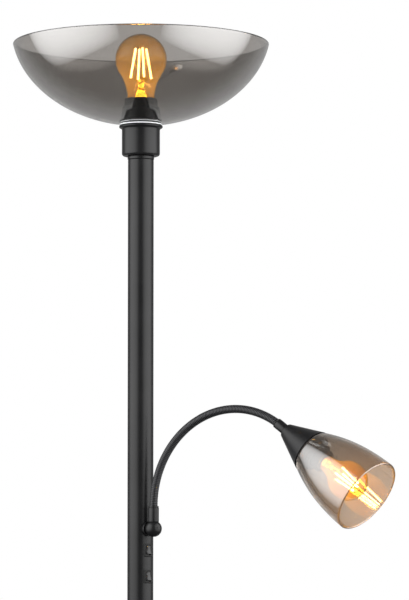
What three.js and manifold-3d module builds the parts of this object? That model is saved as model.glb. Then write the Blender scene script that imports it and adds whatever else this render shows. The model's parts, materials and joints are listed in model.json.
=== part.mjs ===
// Torchiere floor lamp with a gooseneck reading arm.
// Millimetres, +Z up. The origin is the centre of the foot's underside, and the
// arm and the switches are on the +X side of the pole.
import * as THREE from 'three';
import * as BufferGeometryUtils from 'three/addons/utils/BufferGeometryUtils.js';
import Module from 'manifold-3d';

const wasm = await Module();
wasm.setup();

// Driving dimensions.
const GAP = 0.3;
const RIM_HEIGHT = 1800;

const FOOT = { radius: 130, top: 21, edge: 10, sheet: 1.2, skirtBottom: 1.2 };
const PAD = { radius: 116, top: 2.5 };
const WEIGHT = { radius: 121, bottom: 2.8, top: 17.8, pocketRadius: 17, pocketTop: 12.8 };
const CHANNEL = { width: 8, top: 10.8 };

const POLE = { radius: 15, bore: 13.5, bottom: 27.3, top: 1662.6, sections: 3 };
const INSERT_RADIUS = POLE.bore - GAP;
const STUD = { radius: 5, bore: 3.2, hole: 5.3 };

const BOWL = { semiWidth: 152, semiHeight: 115, height: 96, wall: 3, hole: 20.5 };
const BOWL_BOTTOM = RIM_HEIGHT - BOWL.height;
const CUP = { radius: 22.2, bottom: 1667, top: BOWL_BOTTOM - 0.8, flange: 25.5, wall: 1.2 };
const HOLDER = { radius: 17.5, bore: 15.2, bottom: 1673.5, top: 1735 };
const BULB = { radius: 30, centre: 1781, neck: 15.6, wall: 0.8, capRadius: 13, capTop: 1727.7 };
const CAGE = { bottom: 1757.6, top: 1796, bottomRadius: 12.6, topRadius: 6.4, rod: 0.9, turn: 71 };

const SWITCH = { heights: [1177, 1207.4], width: 10, height: 15, face: 16.6, pivot: 14.3, tilt: 10 };

const SWIVEL = { height: 1232, reach: 26.5, ball: 9.5, baseRadius: 8.5, baseFace: 18.2 };
const FERRULE = { radius: 6.1, bottom: 7.6, top: 26, stub: 3 };
const NECK = { radius: 4.6, bend: 108, turn: 123, links: 6, plane: 21 };
const HEAD_PITCH = 36;
const UPPER_FERRULE = { radius: 6, length: 15.5, gap: 0.6 };

const CONE = { topRadius: 8.9, corner: 1.6, rimRadius: 26, length: 42, wall: 1 };
const SHADE = { start: 42.3, end: 132, startRadius: 25.6, endRadius: 44.5, wall: 2.5, hole: 14.2 };
const SPOT_HOLDER = { radius: 13.5, bore: 9.8, start: 8, end: 64, shoulder: 18 };
const SPOT_BULB = { radius: 22.5, centre: 101, neck: 9, neckStart: 66, wall: 0.8 };
const SPOT_CAGE = { bottom: 85.5, top: 114.5, bottomRadius: 8, topRadius: 5, rod: 0.8, turn: 20 };

const degrees = THREE.MathUtils.degToRad;

// Finishes.
const finish = (color, roughness, metalness) =>
  new THREE.MeshStandardMaterial({ color, roughness, metalness });
const powderCoat = finish(0x2b2b2d, 0.45, 0.1);
const blackPlastic = finish(0x1c1c1d, 0.5, 0);
const smokedGlass = finish(0x8a8680, 0.05, 0);
const amberGlass = finish(0xc98a45, 0.05, 0);
const clearGlass = finish(0xe8e4da, 0.05, 0);
const nickel = finish(0xb9b4a8, 0.3, 1);
const zincSteel = finish(0xa9abad, 0.4, 1);
const castIron = finish(0x3b3a39, 0.8, 0.5);
const felt = finish(0x232323, 0.95, 0);
const rubber = finish(0x19191a, 0.8, 0);
const silicone = finish(0xd9dcde, 0.3, 0);
const ledFilament = finish(0xffd27a, 0.6, 0);
const leadSheath = finish(0xe4e2dc, 0.5, 0);

const lamp = new THREE.Group();

function addPiece(name, geometry, material, parent = lamp) {
  const mesh = new THREE.Mesh(geometry, material);
  mesh.name = name;
  parent.add(mesh);
  return mesh;
}

// Points of an arc in a profile: r outwards, z up, angles in degrees.
function arc(r, z, radius, from, to, steps) {
  const points = [];
  for (let i = 0; i <= steps; i += 1) {
    const angle = degrees(from + ((to - from) * i) / steps);
    points.push([r + radius * Math.cos(angle), z + radius * Math.sin(angle)]);
  }
  return points;
}

// Points of a smooth curve in a profile, from one point to another by two handles.
function sweep(a, b, c, d, steps) {
  const [p, q, s, t] = [a, b, c, d].map(([r, z]) => new THREE.Vector2(r, z));
  const curve = new THREE.CubicBezierCurve(p, q, s, t);
  return curve.getPoints(steps).map((point) => [point.x, point.y]);
}

// A turned solid about Z. The profile runs up the outside, then down the inside
// or the axis, and a profile off the axis closes on itself.
function turned(profile, sides = 24) {
  const onAxis = profile[0][0] === 0;
  const loop = onAxis ? profile : [...profile, profile[0]];
  const points = loop.map(([r, z]) => new THREE.Vector2(r, z));
  return new THREE.LatheGeometry(points, sides).rotateX(Math.PI / 2);
}

const ring = (inner, outer, bottom, top, sides) =>
  turned([[outer, bottom], [outer, top], [inner, top], [inner, bottom]], sides);

const disc = (radius, bottom, top, sides) =>
  turned([[0, bottom], [radius, bottom], [radius, top], [0, top]], sides);

function block(x0, x1, y0, y1, z0, z1) {
  const geometry = new THREE.BoxGeometry(x1 - x0, y1 - y0, z1 - z0);
  return geometry.translate((x0 + x1) / 2, (y0 + y1) / 2, (z0 + z1) / 2);
}

// Booleans.
function toSolid(geometry) {
  const plain = geometry.clone();
  plain.deleteAttribute('normal');
  plain.deleteAttribute('uv');
  const merged = BufferGeometryUtils.mergeVertices(plain, 1e-4);
  const vertProperties = new Float32Array(merged.attributes.position.array);
  const triVerts = new Uint32Array(merged.index.array);
  return new wasm.Manifold(new wasm.Mesh({ numProp: 3, vertProperties, triVerts }));
}

function toGeometry(solid) {
  const { vertProperties, triVerts } = solid.getMesh();
  const geometry = new THREE.BufferGeometry();
  geometry.setAttribute('position', new THREE.BufferAttribute(vertProperties, 3));
  geometry.setIndex(new THREE.BufferAttribute(triVerts, 1));
  return geometry;
}

const cut = (body, ...tools) =>
  toGeometry(tools.reduce((solid, tool) => solid.subtract(toSolid(tool)), toSolid(body)));

const join = (...bodies) =>
  toGeometry(bodies.slice(1).reduce((solid, body) => solid.add(toSolid(body)), toSolid(bodies[0])));

const hexNut = (corner, hole, bottom, top) =>
  cut(disc(corner, bottom, top, 6), disc(hole, bottom - 1, top + 1, 20));

// The round foot: a pressed cover over a cast weight, with a felt pad beneath.
function addFoot() {
  const inner = FOOT.radius - FOOT.sheet;
  const bend = FOOT.radius - FOOT.edge;
  const shoulder = FOOT.top - FOOT.edge;
  const cover = turned([
    [FOOT.radius, FOOT.skirtBottom],
    ...arc(bend, shoulder, FOOT.edge, 0, 90, 4),
    [STUD.hole, FOOT.top],
    [STUD.hole, FOOT.top - FOOT.sheet],
    ...arc(bend, shoulder, FOOT.edge - FOOT.sheet, 90, 0, 4),
    [inner, FOOT.skirtBottom],
  ], 36);
  const inlet = new THREE.CylinderGeometry(4.6, 4.6, 20, 16).rotateZ(Math.PI / 2);
  inlet.translate(-FOOT.radius, 0, CHANNEL.top - 4);
  addPiece('base_cover', cut(cover, inlet), powderCoat);

  const casting = turned([
    [0, WEIGHT.bottom],
    [WEIGHT.radius, WEIGHT.bottom],
    [WEIGHT.radius, WEIGHT.top - 2],
    [WEIGHT.radius - 2, WEIGHT.top],
    [0, WEIGHT.top],
  ], 32);
  const stem = disc(STUD.hole, 0, 30, 16);
  const pocket = disc(WEIGHT.pocketRadius, 0, WEIGHT.pocketTop, 20);
  const half = CHANNEL.width / 2;
  const channel = block(-WEIGHT.radius - 5, 0, -half, half, 0, CHANNEL.top);
  addPiece('base_weight', cut(casting, stem, pocket, channel), castIron);

  addPiece('base_pad', disc(PAD.radius, 0, PAD.top, 32), felt);

  addPiece('base_stud', ring(STUD.bore, STUD.radius, 5, 54, 16), zincSteel);
  addPiece('base_washer', ring(STUD.hole, 12, 11.2, 12.5, 16), zincSteel);
  addPiece('base_nut', hexNut(9.2, STUD.hole, 5.6, 10.9), zincSteel);

  // The inlet grommet sits in the skirt, with a groove that grips the sheet.
  const face = FOOT.radius;
  const grommet = turned([
    [6.6, -3.6], [6.6, -1.8], [4.2, -1.8], [4.2, GAP], [6.6, GAP], [6.2, 2.2], [3, 2.4], [3, -3.6],
  ], 14);
  grommet.rotateY(-Math.PI / 2).translate(-face, 0, CHANNEL.top - 4);
  addPiece('cable_grommet', grommet, rubber);
}

// The pole: three tubes screwed end to end over turned inserts.
function addPole() {
  addPiece('pole_foot_collar', turned([
    [22, 21.3], ...arc(20.5, 25.5, 1.5, 0, 90, 2), [STUD.hole, 27], [STUD.hole, 21.3],
  ]), powderCoat);
  addPiece('pole_foot_insert', ring(STUD.hole, INSERT_RADIUS, 28, 52, 16), zincSteel);

  const length = (POLE.top - POLE.bottom - GAP * (POLE.sections - 1)) / POLE.sections;
  const names = ['pole_bottom', 'pole_middle', 'pole_top'];
  names.forEach((name, i) => {
    const start = POLE.bottom + i * (length + GAP);
    const tube = ring(POLE.bore, POLE.radius, start, start + length, 28);
    addPiece(name, i === 2 ? cut(tube, ...poleHoles()) : tube, powderCoat);
    if (i > 0) {
      const joint = start - GAP / 2;
      const coupler = ring(7, INSERT_RADIUS, joint - 22, joint + 22, 16);
      addPiece(i === 1 ? 'pole_coupler_lower' : 'pole_coupler_upper', coupler, zincSteel);
    }
  });
  addPiece('pole_top_insert', ring(STUD.hole, INSERT_RADIUS, 1641, 1662, 16), zincSteel);
  addPiece('pole_top_collar', turned([
    [15.2, 1662.9], [15.5, 1663.4], [15.5, 1666.2], [15.2, 1666.7],
    [STUD.hole, 1666.7], [STUD.hole, 1662.9],
  ]), powderCoat);
}

// Openings in the top tube for the two switches and the arm's hollow stud.
function poleHoles() {
  const slots = SWITCH.heights.map((z) => block(5, 20, -4.6, 4.6, z - 7.1, z + 7.1));
  const stud = new THREE.CylinderGeometry(3.3, 3.3, 20, 16).rotateZ(Math.PI / 2);
  return [...slots, stud.translate(POLE.radius, 0, SWIVEL.height)];
}

// A mini rocker switch: a body with a bezel that follows the pole, and its rocker.
function addSwitch(prefix, height) {
  const halfWidth = SWITCH.width / 2;
  const halfHeight = SWITCH.height / 2;
  const poleSkin = disc(POLE.radius + GAP, height - 20, height + 20, 48);
  const plate = block(13, SWITCH.face, -halfWidth, halfWidth, height - halfHeight, height + halfHeight);
  const bezel = cut(plate, poleSkin);
  const inside = block(5, 16, -4.2, 4.2, height - 6.7, height + 6.7);
  const pocket = block(10, 20, -3.4, 3.4, height - 5.6, height + 5.6);
  addPiece(`${prefix}_body`, cut(join(bezel, inside), pocket), blackPlastic);

  // Side outline of the rocker about its pin: a shallow V that tips either way.
  const outline = new THREE.Shape();
  outline.moveTo(-2.2, -4.9);
  outline.lineTo(3.2, -4.9);
  outline.lineTo(2.3, 0);
  outline.lineTo(3.2, 4.9);
  outline.lineTo(-2.2, 4.9);
  outline.closePath();
  const rocker = new THREE.ExtrudeGeometry(outline, { depth: 6.2, bevelEnabled: false });
  rocker.translate(0, 0, -3.1).rotateX(Math.PI / 2).rotateY(degrees(-SWITCH.tilt));
  addPiece(`${prefix}_rocker`, rocker.translate(SWITCH.pivot, 0, height), blackPlastic);
}

// A lead along a smooth path through hand-chosen points.
function lead(points, radius, steps) {
  const path = new THREE.CatmullRomCurve3(points.map((p) => new THREE.Vector3(...p)));
  const section = new THREE.Shape().absarc(0, 0, radius, 0, 2 * Math.PI);
  return new THREE.ExtrudeGeometry(section, { extrudePath: path, steps, curveSegments: 4 });
}

function addLeads() {
  const side = -4;
  addPiece('pole_lead_lower', lead([
    [0, 0, 22], [0, 0, 66], [side, 0, 130], [side, 0, 500], [side, 0, 900],
    [side, 0, 1100], [side, 0, 1168],
  ], 2.2, 20), leadSheath);
  addPiece('pole_lead_upper', lead([
    [side, 0, 1200], [side, 0, 1260], [side, 0, 1420], [side, 0, 1560], [0, 0, 1626], [0, 0, 1672],
  ], 2.2, 16), leadSheath);
}

// The cup, the nipple that clamps it, and the lampholder.
function addTopFitting() {
  const inner = CUP.radius - CUP.wall;
  const lip = CUP.top - 1.7;
  addPiece('socket_cup', turned([
    ...arc(CUP.radius - 3, CUP.bottom + 3, 3, -90, 0, 2),
    [CUP.radius, lip - 2.2],
    [CUP.flange - 1.7, lip - 1.7],
    ...arc(CUP.flange - 1.7, lip, 1.7, -60, 90, 3),
    [inner, CUP.top],
    [inner, CUP.bottom + CUP.wall],
    [STUD.hole, CUP.bottom + CUP.wall],
    [STUD.hole, CUP.bottom],
  ], 28), powderCoat);
  addPiece('head_nipple', ring(STUD.bore, STUD.radius, 1643, 1676, 16), zincSteel);
  addPiece('nipple_nut', hexNut(9.2, STUD.hole, 1668.6, 1672.8), zincSteel);

  addPiece('main_lampholder', turned([
    [HOLDER.radius, HOLDER.bottom], [HOLDER.radius, HOLDER.top], [HOLDER.bore, HOLDER.top],
    [HOLDER.bore, 1684], [STUD.hole, 1684], [STUD.hole, HOLDER.bottom],
  ]), blackPlastic);
  addPiece('lampholder_contact', turned([
    [0, 1684.3], [14.6, 1684.3], [14.6, 1696], [3, 1696], [3, 1699.5], [0, 1699.5],
  ], 16), nickel);

  addPiece('bowl_gasket', turned([
    [25, CUP.top + 0.2], [25, CUP.top + 1.6], [20.6, CUP.top + 1.1], [20.6, CUP.top + 0.2],
  ]), silicone);
  addPiece('bowl_washer', ring(HOLDER.radius + GAP, 25, 1709, 1710.8, 24), rubber);
  addPiece('bowl_holder_cone', turned([
    [23.6, 1711.1], [21.2, 1722.6], [HOLDER.radius + GAP, 1722.6], [HOLDER.radius + GAP, 1711.1],
  ]), powderCoat);
  addPiece('ring_nut', turned([
    [22, 1722.9], [22, 1724.4], [19, 1725], [19, 1734.4], [HOLDER.radius + GAP, 1734.4],
    [HOLDER.radius + GAP, 1722.9],
  ]), blackPlastic);
}

// The bowl: the lower part of a flattened ellipsoid with a hole for the lampholder.
function addBowl() {
  const centre = BOWL_BOTTOM + BOWL.semiHeight;
  const wallPoints = (width, height, fromRadius, steps) => {
    const from = -Math.acos(fromRadius / width);
    const to = -Math.asin((centre - RIM_HEIGHT) / height);
    const points = [];
    for (let i = 0; i <= steps; i += 1) {
      const angle = from + ((to - from) * i) / steps;
      points.push([width * Math.cos(angle), centre + height * Math.sin(angle)]);
    }
    return points;
  };
  const outside = wallPoints(BOWL.semiWidth, BOWL.semiHeight, BOWL.hole, 9);
  const inside = wallPoints(BOWL.semiWidth - BOWL.wall, BOWL.semiHeight - BOWL.wall, BOWL.hole, 9);
  addPiece('glass_bowl', turned([...outside, ...inside.reverse()], 36), smokedGlass);
}

// A bulb's glass: a ball on a flared neck, open where the cap closes it.
function bulbGlass({ radius, centre, neck, wall }, neckStart, joinAngle, sides) {
  const wallPoints = (ball, throat) => {
    const angle = degrees(joinAngle);
    const meet = [ball * Math.cos(angle), centre + ball * Math.sin(angle)];
    const handle = radius / 3;
    const before = [meet[0] + handle * Math.sin(angle), meet[1] - handle * Math.cos(angle)];
    return [
      ...sweep([throat, neckStart], [throat + 0.6, neckStart + handle * 1.2], before, meet, 3).slice(0, -1),
      ...arc(0, centre, ball, joinAngle, 90, 7).slice(0, -1),
    ];
  };
  const outside = [...wallPoints(radius, neck), [0, centre + radius]];
  const inside = [[0, centre + radius - wall], ...wallPoints(radius - wall, neck - wall).reverse()];
  const loop = [...inside, ...outside];
  return turned(loop, sides);
}

// The lit sticks of a bulb, held between a lower and an upper frame.
function filamentCage({ bottom, top, bottomRadius, topRadius, rod, turn }, count) {
  const lowerFrame = disc(bottomRadius + rod, bottom, bottom + rod, 16);
  const upperFrame = disc(topRadius + rod, top - rod, top, 16);
  const pieces = [lowerFrame, upperFrame];
  for (let i = 0; i < count; i += 1) {
    const azimuth = degrees(turn + (360 / count) * i);
    const foot = new THREE.Vector3(Math.cos(azimuth), Math.sin(azimuth), 0).multiplyScalar(bottomRadius);
    const tip = new THREE.Vector3(Math.cos(azimuth), Math.sin(azimuth), 0).multiplyScalar(topRadius);
    foot.z = bottom + rod / 2;
    tip.z = top - rod / 2;
    const path = new THREE.LineCurve3(foot, tip);
    const section = new THREE.Shape().absarc(0, 0, rod, 0, 2 * Math.PI);
    pieces.push(new THREE.ExtrudeGeometry(section, { extrudePath: path, steps: 1, curveSegments: 4 }));
  }
  return join(...pieces);
}

function addMainBulb() {
  const { capRadius, capTop } = BULB;
  addPiece('bulb_cap', turned([
    [0, 1700], [5, 1700], [7, 1703], [capRadius, 1706], [capRadius, capTop], [0, capTop],
  ], 20), nickel);
  addPiece('bulb_glass', bulbGlass(BULB, 1735, -34, 18), amberGlass);
  addPiece('bulb_neck', ring(10, 13.4, capTop + GAP, 1734.7, 16), clearGlass);
  addPiece('bulb_stem', turned([
    [0, capTop + GAP], [8, capTop + GAP], [7, 1736], [3.4, 1746], [3.2, 1757.2], [0, 1757.2],
  ], 12), clearGlass);
  addPiece('bulb_filaments', filamentCage(CAGE, 4), ledFilament);
}

// The arm: a stud through the pole, a turning ball, and a neck of links.
function addArm() {
  const along = (geometry) => geometry.rotateY(Math.PI / 2).translate(0, 0, SWIVEL.height);
  addPiece('swivel_stud', along(ring(1.6, 3, 4, 22, 12)), zincSteel);
  addPiece('swivel_nut', along(hexNut(6.4, 3.3, 7, 11)), zincSteel);
  const poleSkin = disc(POLE.radius + GAP, SWIVEL.height - 15, SWIVEL.height + 15, 48);
  const saddle = along(ring(3.3, SWIVEL.baseRadius, 10, SWIVEL.baseFace, 20));
  addPiece('swivel_base', cut(saddle, poleSkin), powderCoat);

  const { reach, ball, height, baseFace } = SWIVEL;
  const sphere = new THREE.SphereGeometry(ball, 18, 10).rotateX(Math.PI / 2).translate(reach, 0, height);
  const backPlane = block(0, baseFace + GAP, -12, 12, height - 12, height + 12);
  const topPlane = block(0, 50, -12, 12, height + FERRULE.bottom - GAP, height + 20);
  const studHole = along(disc(3.3, 5, 23.6, 12));
  const stubHole = disc(FERRULE.stub + GAP, 0, 10, 12).translate(reach, 0, height + 1);
  addPiece('swivel_ball', cut(sphere, backPlane, topPlane, studHole, stubHole), powderCoat);

  const socketTop = FERRULE.top;
  const ferrule = turned([
    [0, 2.5], [FERRULE.stub, 2.5], [FERRULE.stub, FERRULE.bottom], [FERRULE.radius, FERRULE.bottom],
    [FERRULE.radius, socketTop - 1.2], [FERRULE.radius - 0.7, socketTop], [0, socketTop],
  ], 16);
  addPiece('lower_ferrule', ferrule.translate(reach, 0, height), powderCoat);
}

// The neck's centre line rises from the lower ferrule and turns in one round arc.
const neckStart = new THREE.Vector3(SWIVEL.reach, 0, SWIVEL.height + FERRULE.top);
const neckOut = new THREE.Vector3(Math.cos(degrees(NECK.plane)), Math.sin(degrees(NECK.plane)), 0);
const neckSide = new THREE.Vector3(-neckOut.y, neckOut.x, 0);

function neckFrame(distance) {
  const angle = distance / NECK.bend;
  const up = new THREE.Vector3(0, 0, 1);
  const tangent = neckOut.clone().multiplyScalar(Math.sin(angle)).addScaledVector(up, Math.cos(angle));
  const normal = neckOut.clone().multiplyScalar(Math.cos(angle)).addScaledVector(up, -Math.sin(angle));
  const point = neckStart.clone();
  point.addScaledVector(neckOut, NECK.bend * (1 - Math.cos(angle)));
  point.addScaledVector(up, NECK.bend * Math.sin(angle));
  return { point, tangent, normal };
}

// One link: a round-ended rod made straight along Z, then laid along the arc.
function neckLink(from, to) {
  const { radius } = NECK;
  const first = from + GAP;
  const last = to - GAP;
  const body = [];
  for (let i = 1; i < 4; i += 1) {
    body.push([radius, first + radius + ((last - first - 2 * radius) * i) / 4]);
  }
  const rod = turned([
    [0, first],
    ...arc(0, first + radius, radius, -90, 0, 3).slice(1),
    ...body,
    ...arc(0, last - radius, radius, 0, 90, 3).slice(0, -1),
    [0, last],
  ], 8);
  const position = rod.attributes.position;
  for (let i = 0; i < position.count; i += 1) {
    const { point, normal } = neckFrame(position.getZ(i));
    point.addScaledVector(normal, position.getX(i)).addScaledVector(neckSide, position.getY(i));
    position.setXYZ(i, point.x, point.y, point.z);
  }
  return rod;
}

function addNeck() {
  const length = NECK.bend * degrees(NECK.turn);
  for (let i = 0; i < NECK.links; i += 1) {
    const step = length / NECK.links;
    addPiece(`neck_${i + 1}`, neckLink(i * step, (i + 1) * step), powderCoat);
  }
}

// The reading head is built along Z from the cone's top, then aimed as one group.
function addHead() {
  const end = neckFrame(NECK.bend * degrees(NECK.turn));
  const aim = neckOut.clone().multiplyScalar(Math.cos(degrees(HEAD_PITCH)));
  aim.z = -Math.sin(degrees(HEAD_PITCH));
  const head = new THREE.Group();
  head.quaternion.setFromUnitVectors(new THREE.Vector3(0, 0, 1), aim);
  head.position.copy(end.point).addScaledVector(aim, UPPER_FERRULE.length + UPPER_FERRULE.gap);
  lamp.add(head);

  const { radius, length } = UPPER_FERRULE;
  addPiece('upper_ferrule', turned([
    [0, -length], [radius - 0.7, -length], [radius, 1 - length], [radius, -GAP], [FERRULE.stub, -GAP],
    [FERRULE.stub, 6], [0, 6],
  ], 16), powderCoat, head);

  const inner = CONE.rimRadius - CONE.wall;
  addPiece('head_cone', turned([
    [FERRULE.stub + GAP, 0],
    ...arc(CONE.topRadius - CONE.corner, CONE.corner, CONE.corner, -90, -20, 3),
    [CONE.rimRadius, CONE.length],
    [inner, CONE.length],
    [CONE.topRadius - CONE.wall, CONE.corner + CONE.wall],
    [CONE.topRadius - CONE.corner, CONE.wall],
    [FERRULE.stub + GAP, CONE.wall],
  ], 28), powderCoat, head);

  addPiece('spot_lampholder', turned([
    [2.2, SPOT_HOLDER.start], [6.4, SPOT_HOLDER.start], [10.5, 16], [SPOT_HOLDER.radius, 24],
    [SPOT_HOLDER.radius, 38.5], [SPOT_HOLDER.shoulder, 39], [SPOT_HOLDER.shoulder, 42],
    [SPOT_HOLDER.radius, 42], [SPOT_HOLDER.radius, SPOT_HOLDER.end], [SPOT_HOLDER.bore, SPOT_HOLDER.end],
    [SPOT_HOLDER.bore, 34], [2.2, 34],
  ], 20), blackPlastic, head);
  addPiece('spot_washer', ring(SHADE.hole, 20, 45.2, 46.4, 20), rubber, head);
  addPiece('spot_ring_nut', turned([
    [20, 46.7], [20, 48.2], [17.5, 48.8], [17.5, 54], [SHADE.hole, 54], [SHADE.hole, 46.7],
  ], 20), blackPlastic, head);
  addShade(head);
  addSpotBulb(head);
}

// The shade: a flat collar under the cone, then a wall that flares and straightens.
function addShade(head) {
  const { start, end, startRadius, endRadius, wall, hole } = SHADE;
  const flare = (offset) => sweep(
    [startRadius - offset, start + offset],
    [startRadius + 11 - offset, start + 24.5],
    [endRadius - 0.8 - offset, end - 40],
    [endRadius - offset, end],
    7,
  );
  addPiece('spot_shade', turned([
    [hole, start],
    ...flare(0),
    ...flare(wall).reverse(),
    [hole, start + wall],
  ], 28), smokedGlass, head);
}

function addSpotBulb(head) {
  addPiece('spot_bulb_cap', turned([
    [0, 45], [3, 45], [4, 47], [6.8, 49], [6.8, 65.2], [0, 65.2],
  ], 16), nickel, head);
  addPiece('spot_bulb_glass', bulbGlass(SPOT_BULB, SPOT_BULB.neckStart, -40, 16), amberGlass, head);
  addPiece('spot_bulb_stem', turned([
    [0, 65.5], [5, 65.5], [4.4, 71], [2.2, 76], [2.2, 85.1], [0, 85.1],
  ], 12), clearGlass, head);
  addPiece('spot_bulb_filament', filamentCage(SPOT_CAGE, 4), ledFilament, head);
}

addFoot();
addPole();
addSwitch('switch_lower', SWITCH.heights[0]);
addSwitch('switch_upper', SWITCH.heights[1]);
addLeads();
addTopFitting();
addBowl();
addMainBulb();
addArm();
addNeck();
addHead();

export default lamp;
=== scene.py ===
# %% [markdown]
# A torchiere floor lamp: a weighted foot, a black pole in three lengths, a bowl
# of smoked glass that throws light at the ceiling, and a gooseneck reading arm
# with a small shade of the same glass. The CAD frame holds every part that fits
# or moves. This lesson gives each visible part its finished surface, in the
# place that the frame says.

# %% Load the frame
import json
import math

import bmesh
import bpy
from mathutils import Matrix, Vector


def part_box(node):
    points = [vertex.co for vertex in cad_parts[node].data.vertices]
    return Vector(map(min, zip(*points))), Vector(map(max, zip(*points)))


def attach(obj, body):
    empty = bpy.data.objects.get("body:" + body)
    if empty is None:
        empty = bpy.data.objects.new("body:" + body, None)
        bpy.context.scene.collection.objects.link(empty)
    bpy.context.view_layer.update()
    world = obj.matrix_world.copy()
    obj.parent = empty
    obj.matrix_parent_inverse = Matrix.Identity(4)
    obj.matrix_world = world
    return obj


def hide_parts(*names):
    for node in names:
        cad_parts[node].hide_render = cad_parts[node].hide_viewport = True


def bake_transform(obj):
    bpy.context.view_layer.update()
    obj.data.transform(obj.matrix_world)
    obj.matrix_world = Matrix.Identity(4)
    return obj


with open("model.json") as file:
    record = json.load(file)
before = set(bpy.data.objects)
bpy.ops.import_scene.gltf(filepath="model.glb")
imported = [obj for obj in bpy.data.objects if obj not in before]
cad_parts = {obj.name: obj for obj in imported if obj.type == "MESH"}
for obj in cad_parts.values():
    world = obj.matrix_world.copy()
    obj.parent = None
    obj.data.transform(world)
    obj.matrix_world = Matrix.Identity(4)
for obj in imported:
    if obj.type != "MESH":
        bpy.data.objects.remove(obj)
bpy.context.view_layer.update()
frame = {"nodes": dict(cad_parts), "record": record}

# %% [markdown]
# The lamp is drawn in millimetres, as its maker would, and Blender works in
# metres. Heights and radii are read off the CAD nodes, so a piece always sits
# where its node sits. `span` gives a turned node's bottom, top and radius.

# %% Units and places
MM = 0.001
UP = Vector((0, 0, 1))


def span(node):
    low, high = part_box(node)
    radius = max(high[0] - low[0], high[1] - low[1]) / 2
    return low[2] / MM, high[2] / MM, radius / MM


def joint(name):
    found = [j for j in frame["record"]["behaviour"]["joints"] if j["name"] == name]
    return Vector(found[0]["pos_m"]), Vector(found[0]["axis"])


RIM_HEIGHT = span("glass_bowl")[1]
POLE_RADIUS = span("pole_middle")[2]
print("rim at", round(RIM_HEIGHT), "mm, pole radius", round(POLE_RADIUS, 1), "mm")

# %% [markdown]
# The camera comes first, because everything else is judged through it. It
# stands 5 m away with a long lens, at waist height, and tips up a little, so the
# bowl is seen from just below its rim.

# %% Camera
VIEW_AZIMUTH = 54
VIEW_DISTANCE = 5.0
VIEW_ELEVATION = -5.4
SENSOR = 36
LENS = 258
AIM_SIDE = 74.2 * MM
AIM_HEIGHT = 1498.6 * MM

azimuth = math.radians(VIEW_AZIMUTH)
elevation = math.radians(VIEW_ELEVATION)
towards_camera = Vector((math.sin(azimuth), -math.cos(azimuth), 0))
image_right = Vector((math.cos(azimuth), math.sin(azimuth), 0))


def add_camera():
    camera = bpy.data.objects.new("camera", bpy.data.cameras.new("camera"))
    bpy.context.scene.collection.objects.link(camera)
    camera.data.sensor_width = SENSOR
    camera.data.lens = LENS
    camera.data.clip_end = 100
    back = towards_camera * math.cos(elevation) + UP * math.sin(elevation)
    aim = image_right * AIM_SIDE + UP * AIM_HEIGHT
    camera.location = aim + back * VIEW_DISTANCE
    camera.rotation_euler = (-back).to_track_quat("-Z", "Y").to_euler()
    bpy.context.scene.camera = camera
    return camera


camera = add_camera()
print("camera at", tuple(round(c, 3) for c in camera.location))

# %% [markdown]
# Lights, the room and every material are trees of nodes. One small helper adds
# a node: `links` joins outputs of other nodes to its sockets, `inputs` puts
# plain values on them, and the rest are settings of the node itself.

# %% Node helper


def add(tree, kind, links=None, inputs=None, **settings):
    node = tree.nodes.new(kind)
    for key, value in settings.items():
        setattr(node, key, value)
    for key, value in (inputs or {}).items():
        node.inputs[key].default_value = value
    for key, source in (links or {}).items():
        tree.links.new(source, node.inputs[key])
    return node


print("node helper ready")

# %% [markdown]
# A black satin tube only shows its shape by what it reflects. Two tall walls of
# light, one each side of the camera, draw the two pale bands on the pole, and
# the dark gap between them gives the dark middle band. Each wall fades towards
# its edges, as a diffusing cloth does, so reflections in the glass have no hard
# outline. A third, dimmer wall lights the back and stays out of reflections.

# %% Walls of light
LIGHT_ANGLE = 67
LIGHT_DISTANCE = 1.3
LIGHT_SIZE = (2.9, 3.0)
LIGHT_HEIGHT = 1.9
LIGHT_POWER = 88
BACK_LIGHT_POWER = LIGHT_POWER / 3
LIGHT_FADE = 0.75


def fade_edges(light):
    # The cloth is brightest in its middle: 4u(1 - u) across, and again in height.
    light.use_nodes = True
    tree = light.node_tree
    place = add(tree, "ShaderNodeNewGeometry")
    split = add(tree, "ShaderNodeSeparateXYZ", {"Vector": place.outputs["Parametric"]})
    hills = []
    for axis in ("X", "Y"):
        across = split.outputs[axis]
        rest = add(tree, "ShaderNodeMath", {1: across}, {0: 1.0}, operation="SUBTRACT")
        hill = add(tree, "ShaderNodeMath", {0: across, 1: rest.outputs[0]}, operation="MULTIPLY")
        tall = add(tree, "ShaderNodeMath", {0: hill.outputs[0]}, {1: 4.0}, operation="MULTIPLY")
        hills.append(add(tree, "ShaderNodeMath", {0: tall.outputs[0]}, {1: LIGHT_FADE}, operation="POWER"))
    level = add(
        tree, "ShaderNodeMath", {0: hills[0].outputs[0], 1: hills[1].outputs[0]}, operation="MULTIPLY",
    )
    tree.links.new(level.outputs[0], tree.nodes["Emission"].inputs["Strength"])


def add_light_wall(name, angle, power):
    light = bpy.data.lights.new(name, "AREA")
    light.shape = "RECTANGLE"
    light.size, light.size_y = LIGHT_SIZE
    light.energy = power
    fade_edges(light)
    wall = bpy.data.objects.new(name, light)
    bpy.context.scene.collection.objects.link(wall)
    turn = azimuth + math.radians(angle)
    out = Vector((math.sin(turn), -math.cos(turn), 0))
    wall.location = out * LIGHT_DISTANCE + UP * LIGHT_HEIGHT
    wall.rotation_euler = out.to_track_quat("Z", "Y").to_euler()
    wall.visible_camera = False
    wall.visible_transmission = False
    return wall


left_wall = add_light_wall("light_wall_left", -LIGHT_ANGLE, LIGHT_POWER)
right_wall = add_light_wall("light_wall_right", LIGHT_ANGLE, LIGHT_POWER)
back_wall = add_light_wall("light_wall_back", 180, BACK_LIGHT_POWER)
back_wall.visible_glossy = False
print("three walls of light, the front pair", LIGHT_ANGLE, "degrees off the camera")

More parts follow.
